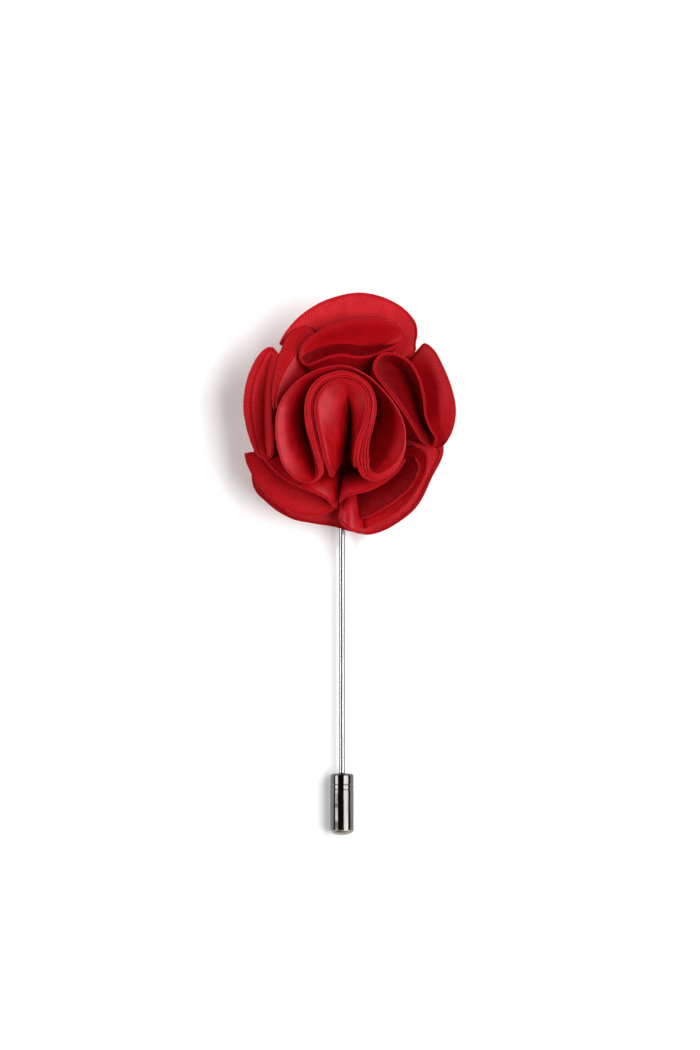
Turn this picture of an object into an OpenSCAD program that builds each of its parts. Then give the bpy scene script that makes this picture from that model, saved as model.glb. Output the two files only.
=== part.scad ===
// Flower lapel pin: a ruffled ribbon flower on a straight pin with a pull-off cap.
// It lies on its back. +Z comes out of the flower's face, +Y is the flower's top,
// and the needle runs along -Y.

/* [Needle and cap] */
// Diameter of the needle
needle_d = 1.1; // [0.9:0.1:1.3]
// Distance from the pad's middle to the cap's open end
cap_from = 64; // [60:1:66]
// Length of the needle's tapered point, which the cap covers
point_len = 8; // [6:0.5:9]
// Diameter of the solder round the needle's upper end
solder_d = 1.6; // [1.4:0.1:1.8]
// Diameter of the pad soldered to the needle
pad_d = 11; // [9:1:12]
// Thickness of the pad
pad_t = 1; // [0.6:0.1:1]
// Outer diameter of the cap
cap_d = 4.2; // [3.8:0.1:4.6]
// Length of the cap
cap_len = 11.1; // [10.5:0.1:12]
// Running clearance between the needle and the cap's bore, on the radius
cap_play = 0.05; // [0.02:0.01:0.1]

/* [Ribbon] */
// Height of the petals' stitched roots above the surface
root_z = 5; // [5:0.1:5.5]
// Share of the wall's thickness that is left where it is pinched at the root
pinch = 0.75; // [0.7:0.05:0.8]
// Strips between a petal's rim and its root
wall_strips = 4; // [3:1:4]

/* [Hidden] */

// The flower's reach to the left, to the right and upwards from the needle's axis
flower_left = -17.6;
flower_right = 20.35;
flower_top = 22;
// The middle of the whole pin's box, which is put at the origin
box_mid = [(flower_left + flower_right) / 2, (flower_top - cap_from - cap_len) / 2];
// The cap rests on the surface, so its radius is the height of the needle's axis
axis_z = cap_d / 2;
// How far the needle is sunk in the pad
pad_seat = 0.25;
pad_z = axis_z + needle_d / 2 - pad_seat;
// How far the solder runs on below the pad
solder_past = 0.8;
tip_d = 0.1;
needle_gap = 0.2;
point_gap = 0.6;
// Thickness of a petal's wall, its plies together: the rims in the tables are set this far apart
ribbon_t = 1;
// Gap between the petals' roots and the collar
root_gap = 0.3;
// Steps from one row of a table to the next
row_steps = 2;
ease_times = 4;
// The petals' roots stand on rings round this point, each ring longer than it is wide
heart = [0.8, -2];
ring_stretch = 1.5;

// Columns of a petal's rows, one row for each bend of its rim:
//   x, y, z   a point of the rim, on the outer face
//   r         radius of the root ring below it
//   out, up   where the wall's belly lies: along from root to rim, and up from root to rim
core_rows = [
    [-1.9, -10.9, 14.8, 2.1, 0.5, 0.5], [-2.9, -8.0, 15.9, 2.1, 0.5, 0.5],
    [-3.8, -4.2, 16.8, 2.1, 0.5, 0.5], [-4.5, -0.8, 17.0, 2.1, 0.5, 0.5],
    [-4.7, 1.6, 17.0, 2.1, 0.5, 0.5], [-4.2, 3.6, 17.0, 2.1, 0.5, 0.5],
    [-2.9, 5.3, 17.0, 2.1, 0.5, 0.5], [-1.0, 6.2, 17.0, 2.1, 0.5, 0.5],
    [0.6, 6.3, 17.0, 2.1, 0.5, 0.5], [2.5, 5.6, 17.0, 2.1, 0.5, 0.5],
    [4.0, 4.1, 17.0, 2.1, 0.5, 0.5], [4.6, 1.8, 16.9, 2.1, 0.5, 0.5],
    [4.1, -1.5, 16.6, 2.1, 0.5, 0.5], [3.1, -4.3, 16.2, 2.1, 0.5, 0.5],
    [2.6, -7.0, 15.7, 2.1, 0.5, 0.5], [2.7, -9.2, 15.0, 2.1, 0.5, 0.5],
];
heart_rows = [
    [-5.4, -12.0, 15.0, 5.0, 0.7, 0.4], [-8.1, -11.4, 14.7, 5.1, 0.7, 0.4],
    [-10.4, -9.0, 14.5, 5.1, 0.7, 0.4], [-11.6, -5.2, 14.5, 5.1, 0.7, 0.4],
    [-11.9, -1.4, 14.5, 5.1, 0.7, 0.4], [-11.2, 2.0, 14.6, 5.1, 0.7, 0.4],
    [-9.4, 4.8, 14.9, 5.1, 0.7, 0.4], [-7.0, 6.9, 15.2, 5.1, 0.7, 0.4],
    [-3.6, 8.5, 15.6, 5.1, 0.7, 0.4], [0.4, 9.0, 15.8, 5.1, 0.7, 0.4],
    [4.1, 7.5, 15.7, 5.1, 0.7, 0.4], [6.8, 5.2, 15.4, 5.1, 0.7, 0.4],
    [9.2, 2.4, 15.1, 5.1, 0.7, 0.4], [10.9, -0.8, 14.8, 5.1, 0.7, 0.4],
    [11.4, -4.0, 14.7, 5.1, 0.7, 0.4], [10.7, -7.0, 14.8, 5.1, 0.7, 0.4],
    [9.0, -9.3, 14.9, 5.1, 0.7, 0.4], [6.4, -10.9, 15.0, 5.0, 0.7, 0.4],
    [4.3, -10.3, 15.2, 3.6, 0.6, 0.5], [3.2, -8.6, 15.6, 2.5, 0.6, 0.5],
    [3.0, -6.8, 15.9, 2.5, 0.6, 0.5], [3.5, -4.2, 16.2, 2.5, 0.6, 0.5],
    [4.5, -1.5, 16.4, 2.5, 0.6, 0.5], [5.0, 1.8, 16.5, 2.5, 0.6, 0.5],
    [4.3, 4.5, 16.5, 2.5, 0.6, 0.5], [2.6, 6.1, 16.5, 2.5, 0.6, 0.5],
    [0.6, 6.8, 16.4, 2.5, 0.6, 0.5], [-1.2, 6.6, 16.4, 2.5, 0.6, 0.5],
    [-3.2, 5.7, 16.4, 2.5, 0.6, 0.5], [-4.6, 3.9, 16.4, 2.5, 0.6, 0.5],
    [-5.1, 1.6, 16.4, 2.5, 0.6, 0.5], [-4.9, -0.9, 16.3, 2.5, 0.6, 0.5],
    [-4.2, -4.3, 16.1, 2.5, 0.6, 0.5], [-3.4, -7.9, 15.7, 2.5, 0.6, 0.5],
    [-3.5, -10.6, 15.3, 3.6, 0.6, 0.5],
];
lip_left_rows = [
    [-1.8, -16.0, 10.8, 6.4, 0.6, 0.4], [-2.4, -15.3, 11.6, 6.4, 0.6, 0.4],
    [-3.5, -14.5, 12.2, 6.4, 0.6, 0.4], [-5.2, -13.7, 12.5, 6.4, 0.6, 0.4],
    [-7.4, -12.9, 12.2, 6.4, 0.6, 0.4], [-9.6, -11.9, 11.6, 6.4, 0.6, 0.4],
    [-11.4, -10.6, 11.0, 6.4, 0.6, 0.4], [-13.0, -9.0, 10.4, 6.4, 0.6, 0.4],
];
lip_right_rows = [
    [10.2, -9.8, 11.2, 6.4, 0.6, 0.4], [8.7, -11.2, 11.8, 6.4, 0.6, 0.4],
    [7.0, -12.4, 12.4, 6.4, 0.6, 0.4], [4.9, -13.4, 12.7, 6.4, 0.6, 0.4],
    [2.6, -14.0, 12.6, 6.4, 0.6, 0.4], [0.7, -14.6, 12.0, 6.4, 0.6, 0.4],
    [-0.3, -15.6, 11.2, 6.4, 0.6, 0.4],
];
top_rows = [
    [-11.3, 12.9, 9.4, 11.2, 0.75, 0.3], [-10.1, 15.0, 9.9, 11.2, 0.75, 0.3],
    [-7.6, 17.8, 10.4, 11.0, 0.75, 0.35], [-4.0, 20.2, 10.8, 10.6, 0.75, 0.4],
    [0.0, 21.6, 11.1, 10.6, 0.75, 0.4], [3.6, 22.0, 11.2, 10.6, 0.75, 0.35],
    [7.4, 21.2, 11.0, 10.6, 0.8, 0.35], [10.8, 19.4, 10.6, 10.6, 0.8, 0.3],
    [13.0, 17.0, 10.1, 10.6, 0.8, 0.3], [13.5, 14.9, 9.6, 10.6, 0.8, 0.3],
    [13.2, 12.9, 9.2, 10.6, 0.8, 0.3],
];
top_fold_rows = [
    [-7.7, 10.4, 12.2, 7.0, 0.7, 0.45], [-7.2, 12.4, 12.2, 8.4, 0.75, 0.4],
    [-5.2, 14.4, 12.4, 8.9, 0.75, 0.4], [-2.4, 16.0, 12.8, 8.9, 0.75, 0.4],
    [1.0, 17.0, 13.0, 8.9, 0.75, 0.4], [4.6, 17.4, 13.0, 8.9, 0.75, 0.4],
    [8.2, 17.0, 12.7, 8.9, 0.75, 0.4], [10.6, 15.8, 12.2, 8.4, 0.75, 0.4],
    [11.3, 14.0, 11.9, 7.2, 0.7, 0.45], [10.0, 12.4, 11.9, 6.1, 0.65, 0.5],
    [7.4, 11.3, 12.1, 5.4, 0.6, 0.5], [5.0, 10.4, 12.5, 5.4, 0.6, 0.5],
    [2.4, 10.2, 12.7, 5.4, 0.6, 0.5], [0.0, 10.6, 12.7, 5.4, 0.6, 0.5],
    [-2.4, 10.2, 12.6, 5.4, 0.6, 0.5], [-4.4, 9.4, 12.4, 5.4, 0.6, 0.5],
    [-6.4, 8.9, 12.2, 5.7, 0.6, 0.5],
];
right_fold_rows = [
    [14.2, -4.7, 10.9, 6.6, 0.65, 0.55], [13.0, -2.9, 11.4, 5.4, 0.6, 0.6],
    [11.6, -0.6, 12.2, 5.4, 0.6, 0.6], [9.5, 2.4, 13.0, 5.4, 0.6, 0.6],
    [7.4, 5.1, 13.6, 5.4, 0.6, 0.6], [5.8, 7.4, 13.8, 5.4, 0.6, 0.6],
    [5.6, 9.4, 13.7, 5.9, 0.65, 0.5], [6.9, 11.0, 13.5, 7.4, 0.7, 0.45],
    [8.8, 11.3, 13.3, 8.6, 0.75, 0.4], [10.8, 10.7, 13.1, 9.0, 0.75, 0.4],
    [12.6, 9.2, 12.9, 9.0, 0.75, 0.4], [14.0, 6.6, 12.7, 9.0, 0.75, 0.4],
    [14.8, 3.4, 12.4, 9.0, 0.75, 0.4], [15.1, 0.4, 12.1, 9.0, 0.75, 0.4],
    [15.9, -2.0, 11.6, 9.0, 0.75, 0.4], [17.0, -4.0, 11.0, 8.9, 0.75, 0.4],
    [16.2, -5.8, 10.8, 7.8, 0.7, 0.5],
];
right_rows = [
    [13.9, 12.4, 9.8, 10.4, 0.9, 0.3], [14.9, 13.0, 10.2, 10.4, 0.9, 0.3],
    [16.6, 11.6, 10.8, 10.4, 0.9, 0.3], [18.2, 8.6, 11.2, 10.4, 0.9, 0.3],
    [19.6, 5.0, 11.3, 10.4, 0.9, 0.3], [20.35, 1.2, 11.0, 10.4, 0.9, 0.3],
    [19.9, -2.2, 10.4, 10.4, 0.9, 0.3], [18.6, -4.8, 9.6, 10.4, 0.9, 0.3],
];
left_rows = [
    [-12.4, -7.3, 9.8, 7.4, 0.65, 0.5], [-13.7, -7.8, 9.6, 8.8, 0.7, 0.45],
    [-15.1, -7.0, 9.4, 10.1, 0.75, 0.4], [-16.3, -4.8, 9.5, 10.4, 0.75, 0.4],
    [-17.4, -0.6, 9.9, 10.4, 0.75, 0.4], [-17.6, 2.6, 10.2, 10.4, 0.75, 0.4],
    [-17.0, 6.4, 10.4, 10.4, 0.75, 0.4], [-15.6, 9.8, 10.6, 10.4, 0.75, 0.4],
    [-14.0, 11.8, 10.6, 10.1, 0.75, 0.4], [-12.5, 12.3, 10.6, 9.4, 0.7, 0.45],
    [-11.4, 11.0, 10.8, 8.0, 0.65, 0.5], [-11.5, 8.8, 11.0, 7.3, 0.7, 0.6],
    [-12.3, 5.0, 11.2, 7.2, 0.7, 0.6], [-12.4, 0.0, 11.2, 7.2, 0.7, 0.6],
    [-12.1, -4.6, 10.6, 7.2, 0.7, 0.6],
];
left_inner_rows = [
    [-12.3, 1.2, 12.6, 6.2, 0.8, 0.5], [-12.0, 4.2, 12.6, 6.2, 0.8, 0.5],
    [-10.8, 7.6, 12.2, 6.4, 0.8, 0.5], [-9.4, 10.6, 11.7, 8.2, 0.8, 0.45],
    [-7.8, 13.3, 11.2, 9.8, 0.8, 0.4], [-5.6, 15.6, 10.8, 10.0, 0.7, 0.4],
];
lower_left_rows = [
    [-1.4, -16.8, 8.8, 7.5, 0.8, 0.3], [-3.0, -17.5, 9.2, 7.5, 0.8, 0.3],
    [-5.8, -17.9, 9.4, 7.5, 0.8, 0.3], [-9.0, -17.2, 9.4, 7.5, 0.8, 0.3],
    [-12.6, -15.1, 9.2, 7.5, 0.8, 0.3], [-15.2, -12.1, 8.8, 7.5, 0.8, 0.3],
    [-16.9, -8.9, 8.2, 7.5, 0.8, 0.25], [-17.5, -6.7, 7.4, 7.5, 0.8, 0.15],
];
lower_right_rows = [
    [13.0, -5.0, 10.4, 9.0, 0.9, 0.3], [14.6, -5.8, 10.2, 9.2, 0.9, 0.3],
    [15.4, -7.6, 9.9, 9.6, 0.9, 0.3], [15.0, -10.2, 9.6, 9.6, 0.9, 0.3],
    [13.6, -13.0, 9.6, 9.4, 0.9, 0.3], [11.6, -15.8, 9.2, 9.6, 0.9, 0.3],
    [8.4, -18.2, 9.0, 9.6, 0.9, 0.3], [5.0, -19.8, 8.8, 9.6, 0.9, 0.3],
];
lower_right_fold_rows = [
    [13.2, -7.3, 10.9, 7.4, 0.8, 0.35], [13.9, -8.9, 10.7, 7.4, 0.8, 0.35],
    [13.4, -11.0, 10.5, 7.4, 0.8, 0.35], [11.8, -13.4, 10.4, 7.4, 0.8, 0.35],
    [9.2, -15.6, 10.2, 7.4, 0.8, 0.35], [6.6, -17.2, 10.0, 7.4, 0.8, 0.35],
    [4.6, -18.2, 9.6, 7.4, 0.8, 0.35],
];
bottom_rows = [
    [4.0, -21.1, 8.2, 7.5, 0.8, 0.4], [2.8, -21.0, 9.8, 7.5, 0.8, 0.5],
    [1.4, -20.4, 10.6, 7.5, 0.8, 0.6], [0.1, -19.4, 10.2, 7.5, 0.8, 0.5],
    [-0.8, -17.8, 9.0, 7.5, 0.8, 0.4],
];
// Columns of the collar's rows, one row for each flute of its rim, clockwise from the left:
//   x, y, z   a point of the rim, on the outer face
//   low       how far down the flute bows between the rim and the stitched middle
collar_rows = [
    [-14.8, -2.0, 4.6, -4.2], [-13.8, 3.4, 5.0, -1.5], [-11.8, 8.6, 4.6, 0.5], [-7.6, 12.6, 4.4, -1.5],
    [-2.0, 15.2, 4.6, -4.2], [3.4, 16.0, 5.0, -1.5], [8.0, 14.6, 4.6, 0.5], [11.6, 11.4, 4.6, -1.5],
    [14.6, 6.8, 4.8, -4.2], [16.0, 1.4, 5.0, -1.5], [16.6, -3.0, 4.8, 0.5], [17.9, -6.4, 4.6, -1.5],
    [16.2, -10.8, 4.8, -4.0], [13.4, -16.2, 5.2, -2.0], [9.0, -19.7, 5.2, 1.5], [5.0, -21.2, 5.0, 3.4],
    [1.4, -20.6, 4.8, 3.5], [-1.4, -19.8, 4.8, 3.5], [-5.2, -19.2, 5.0, 2.6], [-9.4, -18.2, 5.2, -1.0],
    [-13.2, -15.3, 5.0, -4.0], [-15.6, -11.4, 4.8, -2.4],
];

// A point on the smooth curve from row b to row c
function between(a, b, c, d, t) =
    0.5 * (2 * b + (c - a) * t + (2 * a - 5 * b + 4 * c - d) * t * t + (3 * b - a - 3 * c + d) * t * t * t);
function row_at(rows, i, closed) =
    closed ? rows[(i + len(rows)) % len(rows)] : rows[max(0, min(len(rows) - 1, i))];
// Rows with more rows between them
function smooth(rows, steps, closed) = [
    for (i = [0 : len(rows) - (closed ? 1 : 2)], k = [0 : steps - 1])
        between(row_at(rows, i - 1, closed), row_at(rows, i, closed), row_at(rows, i + 1, closed),
                row_at(rows, i + 2, closed), k / steps),
    if (!closed) rows[len(rows) - 1],
];
function turn(deg) = deg - 360 * floor((deg + 180) / 360);
// The root below a rim point: fan is the petal's middle direction and how far its roots close up on it
function root(row, fan) =
    let (a = fan[0] + fan[1] * turn(atan2(row[1] - heart[1], row[0] - heart[0]) - fan[0]))
    [heart[0] + row[3] * cos(a), heart[1] + (row[3] + ring_stretch) * sin(a), root_z];
function blend(a, b, t) = a + (b - a) * t;
// A wall point at v, from 0 at the rim to 1 at the root, through one belly point
function wall_point(row, fan, v) =
    let (
        rim = [row[0], row[1], row[2]],
        low = root(row, fan),
        flat_belly = blend(low, rim, row[4]),
        belly = [flat_belly[0], flat_belly[1], blend(low[2], rim[2], row[5])]
    )
    (1 - v) * (1 - v) * rim + 2 * v * (1 - v) * belly + v * v * low;
function unit(v) = v / max(norm(v), 0.0001);
function grid_at(g, i, j, closed) =
    g[closed ? (i + len(g)) % len(g) : max(0, min(len(g) - 1, i))][max(0, min(len(g[0]) - 1, j))];
// A grid with its sharp turns eased, its open ends kept
function eased(g, closed, times) =
    times == 0 ? g : eased([
        for (i = [0 : len(g) - 1])
            !closed && (i == 0 || i == len(g) - 1) ? g[i] : [
                for (j = [0 : len(g[0]) - 1])
                    (grid_at(g, i - 1, j, closed) + 2 * g[i][j] + grid_at(g, i + 1, j, closed)) / 4
            ]
    ], closed, times - 1);
// The face one ribbon thickness in from the outer face, pinched towards the root if it has one
function inner_grid(g, t, closed, rooted = true) = [
    for (i = [0 : len(g) - 1]) [
        for (j = [0 : len(g[0]) - 1])
            let (
                along = grid_at(g, i + 1, j, closed) - grid_at(g, i - 1, j, closed),
                down = grid_at(g, i, j + 1, closed) - grid_at(g, i, j - 1, closed),
                out = cross(along, down),
                depth = j / (len(g[0]) - 1)
            )
            rooted
                ? g[i][j] - t * blend(1, pinch, depth) * unit(depth < 1 ? out : [out[0], out[1], 0])
                : g[i][j] - t * unit(out)
    ]
];
// A solid wall between two grids of points
module wall_solid(outer, inner, closed) {
    n = len(outer);
    m = len(outer[0]);
    points = [for (g = [outer, inner], col = g, p = col) p];
    spans = closed ? n : n - 1;
    function at(side, i, j) = side * n * m + (i % n) * m + j;
    faces = [
        for (i = [0 : spans - 1], j = [0 : m - 2]) each [
            [at(0, i, j), at(0, i, j + 1), at(0, i + 1, j + 1)],
            [at(0, i, j), at(0, i + 1, j + 1), at(0, i + 1, j)],
            [at(1, i, j), at(1, i + 1, j + 1), at(1, i, j + 1)],
            [at(1, i, j), at(1, i + 1, j), at(1, i + 1, j + 1)],
        ],
        for (i = [0 : spans - 1]) each [
            [at(0, i, 0), at(0, i + 1, 0), at(1, i + 1, 0)],
            [at(0, i, 0), at(1, i + 1, 0), at(1, i, 0)],
            [at(0, i, m - 1), at(1, i + 1, m - 1), at(0, i + 1, m - 1)],
            [at(0, i, m - 1), at(1, i, m - 1), at(1, i + 1, m - 1)],
        ],
        if (!closed) for (j = [0 : m - 2]) each [
            [at(0, 0, j), at(1, 0, j), at(1, 0, j + 1)],
            [at(0, 0, j), at(1, 0, j + 1), at(0, 0, j + 1)],
            [at(0, n - 1, j), at(1, n - 1, j + 1), at(1, n - 1, j)],
            [at(0, n - 1, j), at(0, n - 1, j + 1), at(1, n - 1, j + 1)],
        ],
    ];
    polyhedron(points, faces, convexity = 6);
}
// A petal: its rim follows the rows, and its wall comes in to the roots
module petal(rows, fan, closed = false) {
    stations = smooth(rows, row_steps, closed);
    outer = [for (row = stations) [for (j = [0 : wall_strips]) wall_point(row, fan, j / wall_strips)]];
    wall_solid(outer, eased(inner_grid(outer, ribbon_t, closed), closed, ease_times), closed);
}
module placed() {
    translate([-box_mid[0], -box_mid[1], 0])
        children();
}

// A round bar along the needle's axis, from one distance below the pad's middle to another
module bar(from, to, d1, d2) {
    translate([0, -from, axis_z]) rotate([90, 0, 0])
        cylinder(d1 = d1, d2 = d2, h = to - from, $fn = 48);
}
module stick_pin() {
    shank_end = cap_from - needle_gap;
    color("silver") placed() {
        bar(0, shank_end, needle_d, needle_d);
        bar(shank_end, cap_from + point_len, needle_d, tip_d);
        bar(0, pad_d / 2 + solder_past, solder_d, solder_d);
        translate([0, 0, pad_z])
            cylinder(d = pad_d, h = pad_t, $fn = 64);
    }
}
module pin_cap() {
    dome = 1;
    shoulder = 0.5;
    bore_r = needle_d / 2 + cap_play;
    color("dimgray") placed() translate([0, -cap_from, axis_z]) rotate([90, 0, 0])
        rotate_extrude($fn = 64) difference() {
            union() {
                translate([0, shoulder]) square([cap_d / 2, cap_len - shoulder - dome]);
                square([cap_d / 2 - shoulder, cap_len - dome]);
                translate([cap_d / 2 - shoulder, shoulder]) intersection() {
                    circle(r = shoulder, $fn = 32);
                    translate([0, -shoulder]) square(shoulder);
                }
                translate([0, cap_len - dome]) intersection() {
                    scale([cap_d / 2 / dome, 1]) circle(r = dome, $fn = 48);
                    square([cap_d / 2, dome]);
                }
            }
            translate([0, -1]) square([bore_r, point_len + point_gap + 1]);
        }
}
module back_collar() {
    hole_r = 0.8;
    stitch_r = 6.5;
    bow_r = 10;
    back_z = root_z - root_gap - ribbon_t;
    bow_strips = 5;
    function ring_point(p, r, z) =
        let (a = atan2(p[1] - heart[1], p[0] - heart[0]))
        [heart[0] + r * cos(a), heart[1] + (r + ring_stretch) * sin(a), z];
    function bow(p, v) =
        (1 - v) * (1 - v) * [p[0], p[1], p[2]] + 2 * v * (1 - v) * ring_point(p, bow_r, p[3])
        + v * v * ring_point(p, stitch_r, back_z);
    outer = [for (p = smooth(collar_rows, row_steps, true)) [
        for (j = [0 : bow_strips]) bow(p, j / bow_strips),
        ring_point(p, hole_r, back_z),
    ]];
    color("firebrick") placed() wall_solid(outer, inner_grid(outer, ribbon_t, true, rooted = false), true);
}
module heart_core() {
    color("crimson") placed() petal(core_rows, [90, 1]);
}
module heart_fold() {
    color("crimson") placed() petal(heart_rows, [90, 1], closed = true);
}
module lip_left() {
    color("firebrick") placed() petal(lip_left_rows, [225, 0.8]);
}
module lip_right() {
    color("firebrick") placed() petal(lip_right_rows, [290, 0.8]);
}
module top_petal() {
    color("tomato") placed() petal(top_rows, [92, 0.9]);
}
module top_fold() {
    color("crimson") placed() petal(top_fold_rows, [90, 0.75], closed = true);
}
module right_fold() {
    color("crimson") placed() petal(right_fold_rows, [22, 0.75], closed = true);
}
module right_petal() {
    color("firebrick") placed() petal(right_rows, [20, 0.85]);
}
module left_petal() {
    color("firebrick") placed() petal(left_rows, [165, 0.7], closed = true);
}
module left_inner_petal() {
    color("crimson") placed() petal(left_inner_rows, [145, 0.75]);
}
module lower_left_petal() {
    color("firebrick") placed() petal(lower_left_rows, [228, 0.8]);
}
module lower_right_petal() {
    color("firebrick") placed() petal(lower_right_rows, [312, 0.85]);
}
module lower_right_fold() {
    color("crimson") placed() petal(lower_right_fold_rows, [312, 0.8]);
}
module bottom_fold() {
    color("crimson") placed() petal(bottom_rows, [272, 0.8]);
}

stick_pin();
pin_cap();
back_collar();
heart_core();
heart_fold();
lip_left();
lip_right();
top_petal();
top_fold();
right_fold();
right_petal();
left_petal();
left_inner_petal();
lower_left_petal();
lower_right_petal();
lower_right_fold();
bottom_fold();
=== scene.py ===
import bpy
import bmesh
import math
import numpy as np
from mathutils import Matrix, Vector, noise


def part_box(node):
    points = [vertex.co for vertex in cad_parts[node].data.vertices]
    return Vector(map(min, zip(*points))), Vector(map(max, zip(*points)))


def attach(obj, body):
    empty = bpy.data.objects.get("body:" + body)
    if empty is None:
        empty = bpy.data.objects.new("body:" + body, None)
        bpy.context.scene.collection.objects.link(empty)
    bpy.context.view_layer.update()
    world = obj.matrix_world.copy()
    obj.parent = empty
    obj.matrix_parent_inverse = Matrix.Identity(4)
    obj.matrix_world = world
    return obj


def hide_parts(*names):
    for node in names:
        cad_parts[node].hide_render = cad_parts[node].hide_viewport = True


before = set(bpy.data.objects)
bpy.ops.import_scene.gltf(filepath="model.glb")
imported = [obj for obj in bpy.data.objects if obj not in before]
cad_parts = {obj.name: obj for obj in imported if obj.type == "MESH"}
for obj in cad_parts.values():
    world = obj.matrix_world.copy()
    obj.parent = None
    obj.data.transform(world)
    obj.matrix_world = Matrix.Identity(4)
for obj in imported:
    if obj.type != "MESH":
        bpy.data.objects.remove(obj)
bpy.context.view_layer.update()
scene = bpy.context.scene
mm = 0.001

# The petal tables are in millimetres from the middle of the pad, seen from the front
pinLow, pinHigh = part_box("stick_pin")
padRadius = (pinHigh.x - pinLow.x) / 2
padMiddle = Vector(((pinLow.x + pinHigh.x) / 2, pinHigh.y - padRadius, 0))
print("frame loaded, pad's middle at", [round(v / mm, 3) for v in padMiddle])


# Camera, light and floor
view = {"pixelsPerMm": 5.6, "axisPx": (342, 416), "photoPx": (700, 1050), "distance": 1.6, "planeZ": 0.009,
        "sensor": 36, "clip": (0.1, 20)}
light = {
    "right": dict(at=(0.75, 0.10, 0.88), size=(0.95, 1.3), watts=24),
    "left": dict(at=(-0.95, 0.10, 0.64), size=(0.55, 1.2), watts=12.5),
}
studio = {"zenith": 0.015, "horizon": 0.06, "fadeTo": 0.9, "floor": (0.93, 0.93, 0.93), "floorReach": 1.5,
          "floorRough": 0.9, "floorShine": 0.1}


def addCamera():
    wide, high = view["photoPx"]
    px = view["pixelsPerMm"]
    axisX, axisY = view["axisPx"]
    middle = Vector(((wide / 2 - axisX) / px, (axisY - high / 2) / px, 0)) * mm + padMiddle
    data = bpy.data.cameras.new("photoCamera")
    data.sensor_width = view["sensor"]
    data.lens = view["sensor"] * view["distance"] / (high / px * mm)
    data.clip_start, data.clip_end = view["clip"]
    cam = bpy.data.objects.new("photoCamera", data)
    cam.location = (middle.x, middle.y, view["distance"] + view["planeZ"])
    scene.collection.objects.link(cam)
    scene.camera = cam


def addLight(name, at, size, watts):
    # Tall softboxes, long side along the pin
    data = bpy.data.lights.new(name, "AREA")
    data.shape = "RECTANGLE"
    data.size, data.size_y = size
    data.energy = watts
    lamp = bpy.data.objects.new(name, data)
    lamp.location = at
    lamp.rotation_euler = (0, math.atan2(at[0], at[2]), 0)
    scene.collection.objects.link(lamp)


def addFloor():
    me = bpy.data.meshes.new("floor")
    r = studio["floorReach"]
    me.from_pydata([(-r, -r, 0), (r, -r, 0), (r, r, 0), (-r, r, 0)], [], [(0, 1, 2, 3)])
    floor = bpy.data.objects.new("floor", me)
    scene.collection.objects.link(floor)
    mat = bpy.data.materials.new("paleFloor")
    mat.use_nodes = True
    shader = mat.node_tree.nodes["Principled BSDF"]
    shader.inputs["Base Color"].default_value = (*studio["floor"], 1)
    shader.inputs["Roughness"].default_value = studio["floorRough"]
    shader.inputs["Specular IOR Level"].default_value = studio["floorShine"]
    me.materials.append(mat)


def addWorld():
    # A dim studio, darkest overhead, so that the metal mirrors dark between the softboxes
    world = bpy.data.worlds.new("studio")
    world.use_nodes = True
    tree = world.node_tree
    where = tree.nodes.new("ShaderNodeTexCoord")
    parts = tree.nodes.new("ShaderNodeSeparateXYZ")
    fade = tree.nodes.new("ShaderNodeMapRange")
    tree.links.new(where.outputs["Generated"], parts.inputs[0])
    tree.links.new(parts.outputs["Z"], fade.inputs["Value"])
    for key, value in (("From Min", 0), ("From Max", studio["fadeTo"]), ("To Min", studio["horizon"]),
                       ("To Max", studio["zenith"])):
        fade.inputs[key].default_value = value
    tree.links.new(fade.outputs["Result"], tree.nodes["Background"].inputs["Strength"])
    tree.nodes["Background"].inputs["Color"].default_value = (1, 1, 1, 1)
    scene.world = world


addCamera()
for name, lamp in light.items():
    addLight(name + "Softbox", **lamp)
addWorld()
addFloor()
scene.view_settings.view_transform = "Standard"
print("camera, lights and floor made")


# Shader groups that several finishes share
def newGroup(name, inputs, outputs, kindOfTree="ShaderNodeTree"):
    group = bpy.data.node_groups.new(name, kindOfTree)
    for socket, kind, value in inputs:
        made = group.interface.new_socket(socket, in_out="INPUT", socket_type="NodeSocket" + kind)
        if value is not None:
            made.default_value = value
    for socket, kind in outputs:
        group.interface.new_socket(socket, in_out="OUTPUT", socket_type="NodeSocket" + kind)
    start, end = group.nodes.new("NodeGroupInput"), group.nodes.new("NodeGroupOutput")
    return group, Wiring(group), start.outputs, end.inputs


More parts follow.
